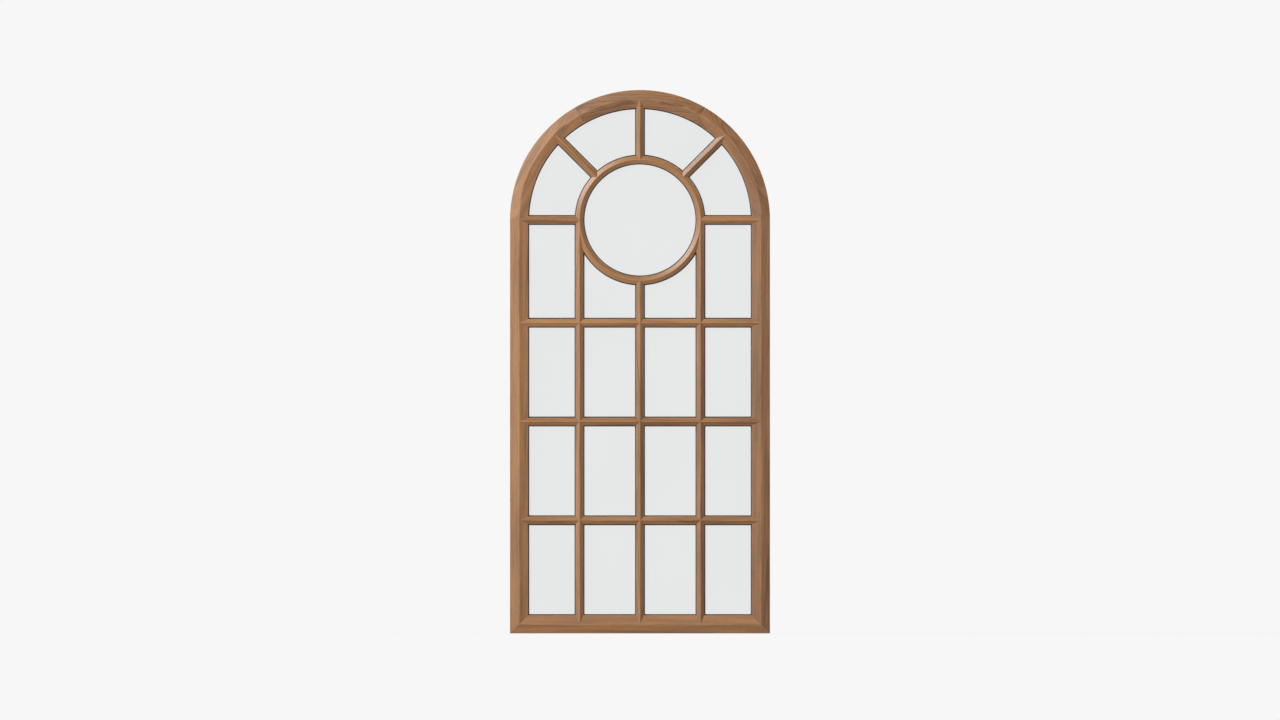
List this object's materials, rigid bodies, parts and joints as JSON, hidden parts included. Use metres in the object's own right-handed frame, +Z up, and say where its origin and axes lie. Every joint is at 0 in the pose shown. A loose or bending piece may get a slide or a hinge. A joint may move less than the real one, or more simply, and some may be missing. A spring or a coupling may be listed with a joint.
{
  "type": "arched wooden window",
  "caption": "Fixed wooden window with a half-round head, a round pane in the arch, fan bars and a grid of glazing bars with ridged faces.",
  "frame": {"origin": "middle of the underside of the bottom rail, halfway through the frame's depth", "axes": "+Z up, +Y from the ridged front towards the back with the beads, +X to the right as seen from the front"},
  "size_m": [1, 0.068, 2.09],
  "materials": {
    "frame_timber": "hardwood under satin oil, ridged front faces",
    "bead_timber": "hardwood strips under satin oil",
    "glass": "clear polished sheet",
    "glazing_compound": "dark matt glazing compound at the edge of each pane",
    "panel_pin": "small dull brass pin heads in the beads"
  },
  "bodies": {
    "root": {"stile_left": "frame_timber", "stile_right": "frame_timber", "bottom_rail": "frame_timber", "head_left": "frame_timber", "head_crown": "frame_timber", "head_right": "frame_timber", "ring": "frame_timber", "spring_bar_left": "frame_timber", "fan_bar_left": "frame_timber", "fan_bar_top": "frame_timber", "fan_bar_right": "frame_timber", "spring_bar_right": "frame_timber", "upright_left": "frame_timber", "upright_centre": "frame_timber", "upright_right": "frame_timber", "cross_bar_low": "frame_timber", "cross_bar_middle": "frame_timber", "cross_bar_high": "frame_timber", "glass_round": "glass", "glass_fan_far_left": "glass", "glass_fan_left": "glass", "glass_fan_right": "glass", "glass_fan_far_right": "glass", "glass_top_far_left": "glass", "glass_top_left": "glass", "glass_top_right": "glass", "glass_top_far_right": "glass", "glass_upper_far_left": "glass", "glass_upper_left": "glass", "glass_upper_right": "glass", "glass_upper_far_right": "glass", "glass_middle_far_left": "glass", "glass_middle_left": "glass", "glass_middle_right": "glass", "glass_middle_far_right": "glass", "glass_lower_far_left": "glass", "glass_lower_left": "glass", "glass_lower_right": "glass", "glass_lower_far_right": "glass", "bead_round": "bead_timber", "bead_fan_far_left": "bead_timber", "bead_fan_left": "bead_timber", "bead_fan_right": "bead_timber", "bead_fan_far_right": "bead_timber", "bead_top_far_left": "bead_timber", "bead_top_left": "bead_timber", "bead_top_right": "bead_timber", "bead_top_far_right": "bead_timber", "bead_upper_far_left": "bead_timber", "bead_upper_left": "bead_timber", "bead_upper_right": "bead_timber", "bead_upper_far_right": "bead_timber", "bead_middle_far_left": "bead_timber", "bead_middle_left": "bead_timber", "bead_middle_right": "bead_timber", "bead_middle_far_right": "bead_timber", "bead_lower_far_left": "bead_timber", "bead_lower_left": "bead_timber", "bead_lower_right": "bead_timber", "bead_lower_far_right": "bead_timber"}
  },
  "joints": []
}
